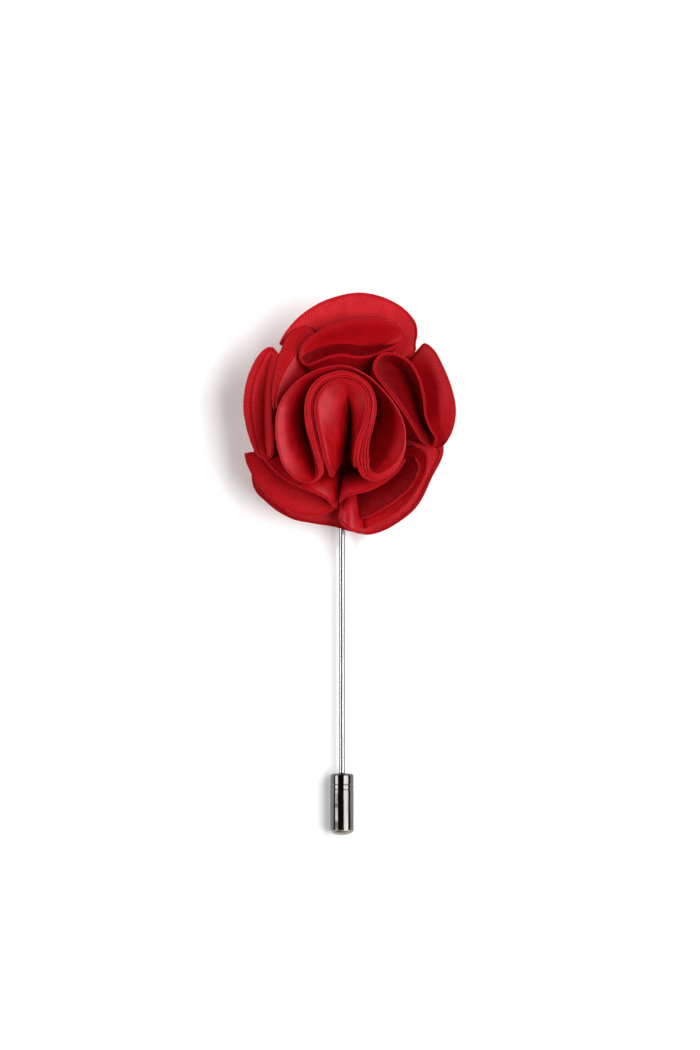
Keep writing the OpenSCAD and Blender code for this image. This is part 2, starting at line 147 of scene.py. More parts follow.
class Wiring:
    # Short helpers to add and join nodes of one tree
    def __init__(self, tree):
        self.tree = tree

    def node(self, kind, **settings):
        made = self.tree.nodes.new(kind)
        for key, value in settings.items():
            setattr(made, key, value)
        return made

    def join(self, source, target):
        self.tree.links.new(source, target)

    def put(self, target, value):
        if isinstance(value, bpy.types.NodeSocket):
            self.join(value, target)
        else:
            target.default_value = value

    def math(self, operation, a, b=0.0, c=0.0):
        made = self.node("ShaderNodeMath", operation=operation)
        self.put(made.inputs[0], a)
        self.put(made.inputs[1], b)
        self.put(made.inputs[2], c)
        return made.outputs[0]

    def mixColor(self, factor, first, second):
        made = self.node("ShaderNodeMix", data_type="RGBA")
        self.put(made.inputs["Factor"], factor)
        for target, color in ((made.inputs[6], first), (made.inputs[7], second)):
            self.put(target, (*color, 1) if isinstance(color, tuple) else color)
        return made.outputs[2]

    def range(self, value, low, high, toLow=0.0, toHigh=1.0):
        made = self.node("ShaderNodeMapRange", interpolation_type="SMOOTHSTEP")
        self.put(made.inputs["Value"], value)
        for key, limit in (("From Min", low), ("From Max", high), ("To Min", toLow), ("To Max", toHigh)):
            made.inputs[key].default_value = limit
        return made.outputs["Result"]

    def stretched(self, vector, amounts):
        made = self.node("ShaderNodeVectorMath", operation="MULTIPLY")
        self.join(vector, made.inputs[0])
        self.put(made.inputs[1], amounts)
        return made.outputs[0]

    def noise(self, vector, scale, detail=2):
        made = self.node("ShaderNodeTexNoise")
        self.join(vector, made.inputs["Vector"])
        self.put(made.inputs["Scale"], scale)
        made.inputs["Detail"].default_value = detail
        return made.outputs["Fac"]


def waveOf(w, value, period):
    # 0 to 1 and back, once for each period
    turns = w.math("DIVIDE", value, period)
    return w.math("MULTIPLY_ADD", w.math("COSINE", w.math("MULTIPLY", turns, 2 * math.pi)), -0.5, 0.5)


def ribWeaveGroup():
    # Ribs across the ribbon, each a row of short floats. Along, Across, Rib and Float are in millimetres
    group, w, given, out = newGroup("ribWeave", [
        ("Along", "Float", 0), ("Across", "Float", 0), ("Rib", "Float", 0.42), ("Float", "Float", 0.34),
        ("Slant", "Float", 0.3), ("Broken", "Float", 0.45), ("Roundness", "Float", 0.7),
    ], [("Height", "Float"), ("Thread", "Float")])
    slid = w.math("ADD", given["Along"], w.math("MULTIPLY", given["Across"], given["Slant"]))
    rib = waveOf(w, slid, given["Rib"])
    row = w.math("FLOOR", w.math("DIVIDE", slid, given["Rib"]))
    # Every second row is moved by half a float
    half = w.math("MULTIPLY", w.math("MODULO", w.math("ABSOLUTE", row), 2), 0.5)
    moved = w.math("ADD", given["Across"], w.math("MULTIPLY", half, given["Float"]))
    floats = waveOf(w, moved, given["Float"])
    # 1 where a float lies on top, less where it dives under
    lift = w.math("ADD", w.math("MULTIPLY", floats, given["Broken"]), w.math("SUBTRACT", 1, given["Broken"]))
    # Height also darkens the rib grooves as painted shade, and Thread marks the floats on top for a painted
    # highlight
    w.join(w.math("MULTIPLY", w.math("POWER", rib, given["Roundness"]), lift), out["Height"])
    w.join(w.math("MULTIPLY", rib, w.math("POWER", lift, 2)), out["Thread"])
    return group


def satinGroup():
    # Long fine floats along the ribbon, with a slow unevenness of the cloth
    group, w, given, out = newGroup("satinThreads", [
        ("Vector", "Vector", None), ("Fine", "Float", 6), ("Slow", "Float", 0.5),
        ("Stretch", "Vector", (0.15, 1, 1)),
    ], [("Height", "Float"), ("Cloud", "Float")])
    w.join(w.noise(w.stretched(given["Vector"], given["Stretch"]), given["Fine"]), out["Height"])
    w.join(w.noise(given["Vector"], given["Slow"]), out["Cloud"])
    return group


def cordGroup():
    # The twisted, stitched selvage of the ribbon
    group, w, given, out = newGroup("selvageTwist", [
        ("Along", "Float", 0), ("Across", "Float", 0), ("Pitch", "Float", 0.5), ("Slant", "Float", 0.9),
    ], [("Height", "Float"), ("Stitch", "Float")])
    slid = w.math("ADD", given["Along"], w.math("MULTIPLY", given["Across"], given["Slant"]))
    twist = waveOf(w, slid, given["Pitch"])
    w.join(twist, out["Height"])
    w.join(w.math("POWER", twist, 2), out["Stitch"])
    return group


def wearGroup():
    # Fine drawn lines and cloudy handling marks of the metals, along the pin
    group, w, given, out = newGroup("drawnMetal", [
        ("Vector", "Vector", None), ("Lines", "Float", 9000), ("Marks", "Float", 500),
        ("Stretch", "Vector", (1, 0.02, 1)),
    ], [("Lines", "Float"), ("Marks", "Float")])
    drawn = w.stretched(given["Vector"], given["Stretch"])
    w.join(w.noise(drawn, given["Lines"], detail=3), out["Lines"])
    w.join(w.noise(given["Vector"], given["Marks"], detail=3), out["Marks"])
    return group


ribWeave = ribWeaveGroup()
satinThreads = satinGroup()
selvageTwist = cordGroup()
drawnMetal = wearGroup()

# A look's colours, gloss and bump, and the weave's sizes in millimetres
# In the ribbed looks, dark is painted shade in the rib grooves and light is a painted highlight on the floats
# on top
cloth = {
    "ribbed": dict(
        dark=(0.16, 0.0004, 0.0012), color=(0.43, 0.0014, 0.004), light=(0.64, 0.011, 0.019), rough=0.47,
        bump=0.6, rib=0.42, float=0.36, slant=0.3, broken=0.5, sheen=0.02, shine=0.25),
    # A darker copy of the ribbed look: painted shade for faces that lie in shade
    "paintedShadeRib": dict(
        dark=(0.055, 0.0001, 0.0006), color=(0.17, 0.0004, 0.0014), light=(0.31, 0.0025, 0.006), rough=0.5,
        bump=0.7, rib=0.42, float=0.36, slant=0.2, broken=0.4, sheen=0.01, shine=0.15),
    # Finer ribs, in a lighter copy of the ribbed colours: painted light that lifts the faces it covers
    "paintedLightFineRib": dict(
        dark=(0.26, 0.0025, 0.005), color=(0.54, 0.010, 0.016), light=(0.72, 0.034, 0.042), rough=0.46,
        bump=0.4, rib=0.36, float=0.36, slant=0.5, broken=0.5, sheen=0.03, shine=0.3),
    "bandRib": dict(
        dark=(0.17, 0.0005, 0.0015), color=(0.36, 0.0016, 0.004), light=(0.52, 0.009, 0.016), rough=0.47,
        bump=0.25, rib=0.42, float=0.5, slant=1.1, broken=0.0, sheen=0.02, shine=0.3),
    "grain": dict(
        dark=(0.22, 0.0006, 0.002), color=(0.40, 0.0015, 0.0045), light=(0.54, 0.006, 0.012), rough=0.42,
        bump=0.3, rib=0.30, float=0.30, slant=0.5, broken=0.5, sheen=0.03, shine=0.4),
    "satin": dict(
        color=(0.27, 0.0007, 0.0022), light=(0.36, 0.0022, 0.006), rough=0.45, bump=0.12, sheen=0.05,
        shine=0.6),
    "selvage": dict(
        color=(0.27, 0.001, 0.003), light=(0.40, 0.004, 0.009), rough=0.5, bump=0.5, pitch=0.5, sheen=0.02,
        shine=0.25),
}
# What all cloths share: the light they send back, and how threads vary it
weave = {"shineTint": (1.0, 0.28, 0.33), "sheenTint": (1.0, 0.20, 0.26), "sheenRough": 0.4, "depth": 0.00008,
         "ribCloud": (0.3, 0.7, 0.35, 0.9), "ribGloss": (-0.08, 0.04), "satinCloud": (0.3, 0.75),
         "satinGloss": (0.12, -0.06)}
metal = {
    "steel": dict(color=(0.30, 0.295, 0.29), dark=(0.22, 0.22, 0.22), rough=0.18),
    "cap": dict(color=(0.17, 0.157, 0.147), dark=(0.10, 0.092, 0.086), rough=0.11),
    "matte": dict(color=(0.36, 0.337, 0.30), dark=(0.28, 0.262, 0.235), rough=0.45),
}
wear = {"smudge": (0.018, 0.017, 0.016), "lines": (0.35, 0.7), "marks": (0.30, 0.55), "gloss": (0.14, -0.05),
        "bump": 0.08, "depth": 0.00002}


def newMaterial(name):
    mat = bpy.data.materials.new(name)
    mat.use_nodes = True
    return mat, Wiring(mat.node_tree), mat.node_tree.nodes["Principled BSDF"]


def ribbonUv(w):
    # The ribbon's own map, in millimetres: along the rim and down from it
    uv = w.node("ShaderNodeUVMap", uv_map="ribbon")
    parts = w.node("ShaderNodeSeparateXYZ")
    w.join(uv.outputs["UV"], parts.inputs[0])
    return uv.outputs["UV"], parts.outputs["X"], parts.outputs["Y"]


def clothShine(shader, look):
    # Light that the red threads send back is itself red
    shader.inputs["Specular IOR Level"].default_value = look["shine"]
    shader.inputs["Specular Tint"].default_value = (*weave["shineTint"], 1)
    shader.inputs["Sheen Weight"].default_value = look["sheen"]
    shader.inputs["Sheen Roughness"].default_value = weave["sheenRough"]
    shader.inputs["Sheen Tint"].default_value = (*weave["sheenTint"], 1)


def glossBy(w, shader, look, source, gloss):
    # The roughness follows the threads or the handling marks
    factor, offset = gloss
    w.join(w.math("MULTIPLY_ADD", source, factor, look["rough"] + offset), shader.inputs["Roughness"])


def placeGroup(w, group, **values):
    made = w.node("ShaderNodeGroup", node_tree=group)
    for key, value in values.items():
        w.put(made.inputs[key], value)
    return made.outputs


def bumpTo(w, shader, height, strength, distance):
    bump = w.node("ShaderNodeBump")
    bump.inputs["Strength"].default_value = strength
    bump.inputs["Distance"].default_value = distance
    w.join(height, bump.inputs["Height"])
    w.join(bump.outputs["Normal"], shader.inputs["Normal"])


def ribbedMaterial(name, look):
    mat, w, shader = newMaterial(name)
    uv, along, across = ribbonUv(w)
    ribs = placeGroup(w, ribWeave, Along=along, Across=across, Rib=look["rib"], Float=look["float"],
                      Slant=look["slant"], Broken=look["broken"])
    cloud = placeGroup(w, satinThreads, Vector=uv)["Cloud"]
    # Painted shade: the rib grooves take the dark colour. Painted highlight: the floats on top take the light
    # colour, in cloudy patches
    low = w.mixColor(ribs["Height"], look["dark"], look["color"])
    paintedHighlight = w.math("MULTIPLY", ribs["Thread"], w.range(cloud, *weave["ribCloud"]))
    w.join(w.mixColor(paintedHighlight, low, look["light"]), shader.inputs["Base Color"])
    glossBy(w, shader, look, ribs["Thread"], weave["ribGloss"])
    clothShine(shader, look)
    bumpTo(w, shader, ribs["Height"], look["bump"], weave["depth"])
    return mat


def satinMaterial(name, look):
    mat, w, shader = newMaterial(name)
    threads = placeGroup(w, satinThreads, Vector=ribbonUv(w)[0])
    cloud = w.range(threads["Cloud"], *weave["satinCloud"])
    w.join(w.mixColor(cloud, look["color"], look["light"]), shader.inputs["Base Color"])
    glossBy(w, shader, look, threads["Height"], weave["satinGloss"])
    clothShine(shader, look)
    bumpTo(w, shader, threads["Height"], look["bump"], weave["depth"])
    return mat


def selvageMaterial(name, look):
    mat, w, shader = newMaterial(name)
    along, across = ribbonUv(w)[1:]
    twist = placeGroup(w, selvageTwist, Along=along, Across=across, Pitch=look["pitch"])
    w.join(w.mixColor(twist["Stitch"], look["color"], look["light"]), shader.inputs["Base Color"])
    shader.inputs["Roughness"].default_value = look["rough"]
    clothShine(shader, look)
    bumpTo(w, shader, twist["Height"], look["bump"], weave["depth"])
    return mat


def metalMaterial(name, look):
    mat, w, shader = newMaterial(name)
    spot = w.node("ShaderNodeTexCoord")
    worn = placeGroup(w, drawnMetal, Vector=spot.outputs["Object"])
    drawn = w.mixColor(w.range(worn["Lines"], *wear["lines"]), look["dark"], look["color"])
    # Finger marks where the piece's own smudge attribute says so
    smudge = w.node("ShaderNodeAttribute", attribute_name="smudge").outputs["Fac"]
    dull = w.math("MULTIPLY", smudge, w.range(worn["Marks"], *wear["marks"]))
    w.join(w.mixColor(dull, drawn, wear["smudge"]), shader.inputs["Base Color"])
    shader.inputs["Metallic"].default_value = 1
    glossBy(w, shader, look, worn["Marks"], wear["gloss"])
    bumpTo(w, shader, worn["Lines"], wear["bump"], wear["depth"])
    return mat


finish = {
    "ribbed": ribbedMaterial("ribbedRibbon", cloth["ribbed"]),
    "paintedShadeRib": ribbedMaterial("paintedShadeRibbedRibbon", cloth["paintedShadeRib"]),
    "paintedLightFineRib": ribbedMaterial("paintedLightFineRibbedRibbon", cloth["paintedLightFineRib"]),
    "bandRib": ribbedMaterial("bandRibbedRibbon", cloth["bandRib"]),
    "grain": ribbedMaterial("grainedRibbon", cloth["grain"]),
    "satin": satinMaterial("satinRibbon", cloth["satin"]),
    "selvage": selvageMaterial("stitchedSelvage", cloth["selvage"]),
    "steel": metalMaterial("drawnSteel", metal["steel"]),
    "cap": metalMaterial("polishedNickel", metal["cap"]),
    "matte": metalMaterial("matteNickel", metal["matte"]),
}
print("finishes made")

# Petal shapes. What all petals share, in millimetres
flower = {
    "rootZ": 5.0, "heart": (0.8, -2.0), "ringStretch": 1.5,  # the root rings, longer up and down
    "ribbon": 1.0, "pinch": 0.75,  # the wall, and its share at the root
    "steps": 10, "lineSteps": 12,  # stations for each row, and points for each part of a line
    "faceColumns": 26, "outerPower": 1.15, "innerPower": 1.05,  # columns down a face, closer at the rim
    "rimColumns": (0.04, 0.96, 9), "rimLimits": (0.02, 0.98), "crown": 0.12, "crownPower": 0.45,
    "grooveWidth": 0.10, "grooveColumns": 0.035, "overDrop": 0.5,
    "ripple": 0.10, "rippleScale": 0.35, "ripplePower": 0.7,
    "stitchShare": 0.14, "stitchLift": 0.01,
    "endLeast": 0.06, "lowest": 0.01, "weld": 0.002, "leastSide": 10.1,
}
stitchLines = []


def between(a, b, c, d, t):
    square, cube = 2 * a - 5 * b + 4 * c - d, 3 * b - a - 3 * c + d
    return 0.5 * (2 * b + (c - a) * t + square * t * t + cube * t ** 3)


def finer(rows, steps, closed):
    # More rows on the smooth curve through the given ones
    rows = np.array(rows, float)
    count = len(rows)

    def at(i):
        return rows[i % count] if closed else rows[min(max(i, 0), count - 1)]

    made = [between(at(i - 1), at(i), at(i + 1), at(i + 2), k / steps)
            for i in range(count if closed else count - 1) for k in range(steps)]
    if not closed:
        made.append(rows[-1])
    return np.array(made)


def fromTable(table, places, total, closed):
    # Values of a short table, whose first column is the row, at every station
    table = np.array(table if isinstance(table[0], (tuple, list)) else [(0, *table)], float)
    period = total if closed else None
    return np.stack([np.interp(places, table[:, 0], table[:, k], period=period)
                     for k in range(1, table.shape[1])], 1)


def ringPoints(angle, radius, z):
    heart = flower["heart"]
    return np.stack([heart[0] + radius * np.cos(angle),
                     heart[1] + (radius + flower["ringStretch"]) * np.sin(angle), z * np.ones(len(angle))], 1)


def rootOf(rows, fan):
    # The root under each rim point, drawn together round the fan's angle by its share
    heart = flower["heart"]
    angle = np.degrees(np.arctan2(rows[:, 1] - heart[1], rows[:, 0] - heart[0])) - fan[0]
    angle = np.radians(fan[0] + fan[1] * (angle - 360 * np.floor((angle + 180) / 360)))
    return ringPoints(angle, rows[:, 3], flower["rootZ"])


def wallGrid(rows, fan, depths):
    # A wall's outer face, from the rim by its belly to the root
    rim = rows[:, :3]
    low = rootOf(rows, fan)
    belly = low + (rim - low) * rows[:, [4, 4, 5]]
    v = depths[None, :, None]
    return (1 - v) ** 2 * rim[:, None] + 2 * v * (1 - v) * belly[:, None] + v * v * low[:, None]


def unit(v):
    return v / np.maximum(np.linalg.norm(v, axis=-1, keepdims=True), 1e-9)


def gridNormals(grid, closed):
    along = np.roll(grid, -1, 0) - np.roll(grid, 1, 0) if closed else np.gradient(grid, axis=0)
    return unit(np.cross(along, np.gradient(grid, axis=1)))


def eased(points, closed, times):
    # Each point drawn towards its neighbours
    for turn in range(times):
        if closed:
            points = (np.roll(points, 1, 0) + 2 * points + np.roll(points, -1, 0)) / 4
        else:
            points = points.copy()
            points[1:-1] = (points[:-2] + 2 * points[1:-1] + points[2:]) / 4
    return points


def arcLength(points):
    return np.concatenate([[0], np.cumsum(np.linalg.norm(np.diff(points, axis=0), axis=1))])


def onLine(points, share):
    # Places at these shares of a smooth line's length
    line = finer(points, flower["lineSteps"], False)
    length = arcLength(line)
    share = np.clip(share, 0, 1) * length[-1]
    return np.stack([np.interp(share, length, line[:, k]) for k in range(3)], 1)


def curved(start, end, roll, floor, count):
    # A face's section: it leaves the rim by roll and comes to its low end by floor, both (across, down)
    reach = end - start
    first = start + reach * roll[:, [0, 0, 1]]
    second = end - reach * floor[:, [0, 0, 1]]
    v = (np.linspace(0, 1, count) ** flower["innerPower"])[None, :, None]
    return ((1 - v) ** 3 * start[:, None] + 3 * v * (1 - v) ** 2 * first[:, None]
            + 3 * v * v * (1 - v) * second[:, None] + v ** 3 * end[:, None])


def rippled(grid, amount, closed, seed):
    # Slow unevenness of the cloth, none at the rim and at the low end
    fade = np.sin(np.linspace(0, math.pi, grid.shape[1])) ** flower["ripplePower"]
    shift = Vector((seed, 0, 0))
    soft = np.array([[noise.noise(Vector(p) * flower["rippleScale"] + shift) for p in line] for line in grid])
    return grid + gridNormals(grid, closed) * (soft * fade * amount)[..., None]


def edgeSection(width, grooves, places, total, closed):
    # Share across the rim, and height over it, for each column of the rim's strip
    shares = set(np.round(np.linspace(*flower["rimColumns"]), 4))
    tables = [fromTable(g, places, total, closed) for g in grooves]
    for g in tables:
        middle = float(np.median(g[:, 0]))
        shares |= {round(middle + k * flower["grooveColumns"], 4) for k in (-2, -1, 0, 1, 2)}
    first, last = flower["rimLimits"]
    shares = np.array(sorted(s for s in shares if first < s < last))
    rise = flower["crown"] * np.sin(math.pi * shares) ** flower["crownPower"] * np.ones((len(places), 1))
    for g in tables:
        off = (shares[None, :] - g[:, :1]) * width
        rise = rise - g[:, 1:2] * np.exp(-(off / flower["grooveWidth"]) ** 2)
    return shares, rise


def lowLine(valley, tips, places, total, closed):
    # The low end of a petal's inner face, where it meets the face across the pocket
    first, second = tips
    if closed:
        # Both sides run from the first tip to the second, and meet at the same valley points
        sideA = ((places - first) % total) / ((second - first) % total)
        sideB = ((first - places) % total) / ((first - second) % total)
        return onLine(valley, np.where(sideA <= 1, sideA, sideB))
    # The two sides part below the slit
    return np.where((places < second)[:, None], onLine(valley[0], (places - first) / (second - first)),
                    onLine(valley[1], (total - 1 - places) / (total - 1 - second)))


def rowsFrom(limits, places):
    return (places >= limits[0]) & (places <= limits[1])


# Rows run clockwise: rim x, y, z, radius of the root ring below, and where the wall's belly lies (out, up).
# Short rows take the rest from root. Other values may be tables by row. more: rows that tuck an open end
# under its neighbour. edge, over, drop: the rim's width, how far it hangs out, how much lower its inner side
# is. grooves: place and depth of each ply line. valley, tips: where a pocket's sides meet, and the rows it
# runs between. roll, floor: how the inner face leaves the rim and comes to its low end. bandRows,
# otherRows: rows with the finish band on the rim, or other on the inner face
def petal(name, node, rows, root=(), more=((), ()), fan=(0, 1), closed=False, edge=0.55, over=0.0, drop=0.0,
          grooves=((0.5, 0.16),), valley=None, tips=(0, 0), roll=(0.35, 0.12), floor=(0.35, 0.3),
          ends=(0.5, 0.5), ripple=1.0, seed=0.0, face="ribbed", back="ribbed", band="selvage", other="ribbed",
          bandRows=(0, math.inf), otherRows=(1, 0), stitched=True, slot="ribbed_ribbon", grid=None):
    rows = [(*row, *root[len(row) - 3:]) for row in (*more[0], *rows, *more[1])]
    steps = flower["steps"]
    fine = finer(rows, steps, closed)
    total = len(rows)
    places = np.arange(len(fine)) / steps
    depths = np.linspace(0, 1, flower["faceColumns"]) ** flower["outerPower"]
    outer = wallGrid(fine, fan, depths) if grid is None else grid(fine, depths)
    width, over, drop, roll, floor = (
        fromTable(value if isinstance(value, (tuple, list)) else (value,), places, total, closed)
        for value in (edge, over, drop, roll, floor))
    level = gridNormals(outer, closed)[:, 0].copy()
    level[:, 2] = 0
    level = eased(unit(level), closed, steps)
    rim = outer[:, 0]
    inside = rim - level * width
    inside[:, 2] -= drop[:, 0]
    outside = rim + level * over
    outside[:, 2] -= over[:, 0] * flower["overDrop"]
    low = outer[:, -1] - level * flower["ribbon"] * flower["pinch"]
    if valley is not None:
        low = lowLine(valley, tips, places, total, closed)
    inner = curved(inside, low, roll, floor, flower["faceColumns"])
    inner = rippled(inner, flower["ripple"] * ripple, closed, seed)
    shares, rise = edgeSection(width + over, grooves, places, total, closed)
    strip = outside[:, None] * (1 - shares[None, :, None]) + inside[:, None] * shares[None, :, None]
    strip[:, :, 2] += rise
    outer[:, 0] = outside
    rings = np.concatenate([outer[:, ::-1], strip, inner], 1)
    strips = (outer.shape[1], strip.shape[1])
    if not closed:
        rings = roundedEnds(rings, *strips, ends)
    inBand = rowsFrom(bandRows, places)
    if stitched:
        for at in (flower["stitchShare"], 1 - flower["stitchShare"]):
            k = outer.shape[1] + int(np.argmin(np.abs(shares - at)))
            points = rings[inBand, k].copy()
            points[:, 2] += flower["stitchLift"]
            stitchLines.append((points, closed and bool(inBand.all())))
    looks = (band, face, back, other)
    loft(name, node, rings, strips, closed, looks, inBand, rowsFrom(otherRows, places))


def roundedEnds(rings, outerCount, stripCount, ends):
    # Open ends are rounded off like a folded edge
    length = arcLength(rings[:, outerCount])
    keep = np.ones(len(rings))
    for reach, gap in zip(ends, (length, length[-1] - length)):
        if reach:
            near = np.clip(gap / reach, 0, 1)
            bend = np.sqrt(1 - (1 - near) ** 2)
            keep = np.minimum(keep, bend * (1 - flower["endLeast"]) + flower["endLeast"])
    keep = keep[:, None, None]
    outer = rings[:, :outerCount][:, ::-1]
    strip = rings[:, outerCount:outerCount + stripCount]
    inner = rings[:, outerCount + stripCount:]
    middle = (outer + inner) / 2
    centre = middle[:, :1]
    return np.concatenate([(middle + (outer - middle) * keep)[:, ::-1], centre + (strip - centre) * keep,
                           middle + (inner - middle) * keep], 1)


def loft(name, node, rings, strips, closed, looks, inBand, inOther):
    # One closed wall through the rings: back, rim strip, then the face down to the root
    count, columns = rings.shape[:2]
    outerCount, stripCount = strips
    rimLine = rings[:, outerCount - 1]
    along = arcLength(np.concatenate([rimLine, rimLine[:1]]) if closed else rimLine)
    across = np.concatenate([[0], np.cumsum(np.linalg.norm(np.diff(rings, axis=1), axis=2).mean(0))])
    across = np.abs(across - across[outerCount + stripCount // 2])
    bm = bmesh.new()
    uvLayer = bm.loops.layers.uv.new("ribbon")
    # Nothing sinks into the surface
    grid = [[bm.verts.new(Vector((x, y, max(z, flower["lowest"]))) * mm + padMiddle) for x, y, z in ring]
            for ring in rings]

    def addFace(corners, index):
        made = bm.faces.new([grid[i % count][j] for i, j in corners])
        made.material_index = index
        made.smooth = True
        for loop, (i, j) in zip(made.loops, corners):
            loop[uvLayer].uv = (along[i], across[j])

    for i in range(count if closed else count - 1):
        for j in range(columns - 1):
            index = 2 if j < outerCount - 1 else 0 if j < outerCount + stripCount and inBand[i] else 1
            index = 3 if index == 1 and inOther[i] else index
            addFace([(i, j), (i + 1, j), (i + 1, j + 1), (i, j + 1)], index)
        addFace([(i, columns - 1), (i + 1, columns - 1), (i + 1, 0), (i, 0)], 2)
    if not closed:
        addFace([(0, j) for j in range(columns)], 2)
        addFace([(count - 1, j) for j in reversed(range(columns))], 2)
    bmesh.ops.remove_doubles(bm, verts=bm.verts, dist=flower["weld"] * mm)
    bmesh.ops.recalc_face_normals(bm, faces=bm.faces)
    me = bpy.data.meshes.new(name)
    bm.to_mesh(me)
    surface = sum(f.calc_area() for f in bm.faces)
    bm.free()
    for key in looks:
        me.materials.append(finish[key])
    made = bpy.data.objects.new(name, me)
    scene.collection.objects.link(made)
    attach(made, "pin")
    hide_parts(node)
    # No side under 10 mm
    print(name, len(me.polygons), "faces,", len(rings), "stations")


petals = {}
petals["heartCore"] = dict(
    fan=(90, 1), face="satin", slot="satin_ribbon", edge=0.5, over=0.28, tips=(0, 8), ripple=0.6,
    valley=([(-1.6, -11.2, 13.4), (-0.7, -9.5, 10.6), (0.6, -7.0, 8.8), (1.15, -4.5, 8.0), (1.35, -1.0, 7.6),
             (1.5, 1.4, 8.2)],
            [(2.4, -9.9, 13.4), (1.6, -8.4, 10.6), (1.2, -6.6, 8.8), (1.2, -4.5, 8.0), (1.4, -1.0, 7.6),
             (1.5, 1.4, 8.2)]),
    roll=[(0, 0.45, 0.10), (5, 0.42, 0.06), (8, 0.40, 0.08), (11, 0.25, 0.12), (15, 0.2, 0.2)],
    floor=[(0, 0.06, 0.45), (5, 0.04, 0.6), (8, 0.06, 0.6), (11, 0.04, 0.5), (15, 0.1, 0.4)],
    root=(2.1, 0.5, 0.5),
    rows=[(-1.9, -10.9, 14.8), (-2.9, -8.0, 15.9), (-3.8, -4.2, 16.8), (-4.5, -0.8, 17.0),
          (-4.7, 1.6, 17.0), (-4.2, 3.6, 17.0), (-2.9, 5.3, 17.0), (-1.0, 6.2, 17.0), (0.6, 6.3, 17.0),
          (2.5, 5.6, 17.0), (4.0, 4.1, 17.0), (4.6, 1.8, 16.9), (4.1, -1.5, 16.6), (3.1, -4.3, 16.2),
          (2.6, -7.0, 15.7), (2.7, -9.2, 15.0)],
)
petals["heartFold"] = dict(
    fan=(90, 1), closed=True, face="satin", slot="satin_ribbon", tips=(34.5, 17.6), ripple=0.8,
    edge=[(0, 0.3), (16, 0.3), (18, 0.9), (19, 1.9), (20, 1.8), (22, 1.2), (25, 1.1), (27, 1.2), (29, 1.5),
          (31, 1.65), (33, 1.2), (34, 0.7)],
    drop=[(17, 0.0), (18, 0.5), (19, 1.1), (20, 1.0), (22, 0.4), (24, 0.1), (34, 0.0)],
    over=[(0, 0.0), (14, 0.0), (16, 0.7), (18, 0.9), (20, 0.3), (21, 0.1), (33, 0.1), (34, 0.0)],
    grooves=([(0, 0.24, 0), (17, 0.24, 0), (18, 0.24, 0.4), (22, 0.24, 0.28), (33, 0.24, 0.22),
              (34, 0.24, 0)],
             [(0, 0.80, 0), (17, 0.80, 0), (18, 0.76, 0.4), (22, 0.80, 0.2), (33, 0.80, 0.2), (34, 0.80, 0)],
             [(0, 0.50, 0), (17, 0.50, 0), (18, 0.50, 0.4), (21, 0.50, 0.3), (23, 0.50, 0), (34, 0.50, 0)]),
    band="bandRib", bandRows=(14.6, 34.4),
    valley=[(-5.2, -10.9, 12.8), (-5.0, -8.8, 10.8), (-5.8, -5.1, 9.6), (-6.6, -2.4, 9.8), (-6.7, 1.0, 10.6),
            (-6.2, 3.2, 11.6), (-4.7, 6.1, 13.0), (-2.1, 7.7, 14.2), (0.5, 8.1, 14.4), (3.6, 6.7, 13.2),
            (5.8, 3.8, 10.4), (6.3, 1.0, 8.2), (5.5, -2.0, 6.6), (4.6, -5.1, 6.8), (4.6, -7.4, 8.4),
            (5.4, -9.2, 11.2)],
    roll=[(0, 0.42, 0.15), (6, 0.44, 0.15), (9, 0.40, 0.1), (12, 0.18, 0.2), (17, 0.22, 0.15),
          (19, 0.4, 0.25), (34, 0.4, 0.25)],
    floor=[(0, 0.15, 0.3), (7, 0.15, 0.3), (9, 0.10, 0.4), (17, 0.12, 0.3), (19, 0.3, 0.2), (34, 0.3, 0.2)],
    root=(5.1, 0.7, 0.4),
    rows=[(-5.4, -12.0, 15.0, 5.0), (-8.1, -11.4, 14.7), (-10.4, -9.0, 14.5), (-11.6, -5.2, 14.5),
          (-11.9, -1.4, 14.5), (-11.2, 2.0, 14.6), (-9.4, 4.8, 14.9), (-7.0, 6.9, 15.2), (-3.6, 8.5, 15.6),
          (0.4, 9.0, 15.8), (4.1, 7.5, 15.7), (6.8, 5.2, 15.4), (9.2, 2.4, 15.1), (10.9, -0.8, 14.8),
          (11.4, -4.0, 14.7), (10.7, -7.0, 14.8), (9.0, -9.3, 14.9), (6.4, -10.9, 15.0, 5.0),
          (4.3, -10.3, 15.2, 3.6, 0.6, 0.5), *((*row, 2.5, 0.6, 0.5) for row in (
              (3.2, -8.6, 15.6), (3.0, -6.8, 15.9), (3.5, -4.2, 16.2), (4.5, -1.5, 16.4), (5.0, 1.8, 16.5),
              (4.3, 4.5, 16.5), (2.6, 6.1, 16.5), (0.6, 6.8, 16.4), (-1.2, 6.6, 16.4), (-3.2, 5.7, 16.4),
              (-4.6, 3.9, 16.4), (-5.1, 1.6, 16.4), (-4.9, -0.9, 16.3), (-4.2, -4.3, 16.1),
              (-3.4, -7.9, 15.7))),
          (-3.5, -10.6, 15.3, 3.6, 0.6, 0.5)],
)
petals["lipLeft"] = dict(
    fan=(225, 0.8), face="satin", roll=(0.5, 0.12), floor=(0.2, 0.4), slot="satin_ribbon", edge=0.45,
    ends=(0.6, 0.0), more=([(-1.1, -16.6, 10.0)], [(-14.0, -7.8, 8.8)]), seed=3.0,
    root=(6.4, 0.6, 0.4),
    rows=[(-1.8, -16.0, 10.8), (-2.4, -15.3, 11.6), (-3.5, -14.5, 12.2), (-5.2, -13.7, 12.5),
          (-7.4, -12.9, 12.2), (-9.6, -11.9, 11.6), (-11.4, -10.6, 11.0), (-13.0, -9.0, 10.4)],
)
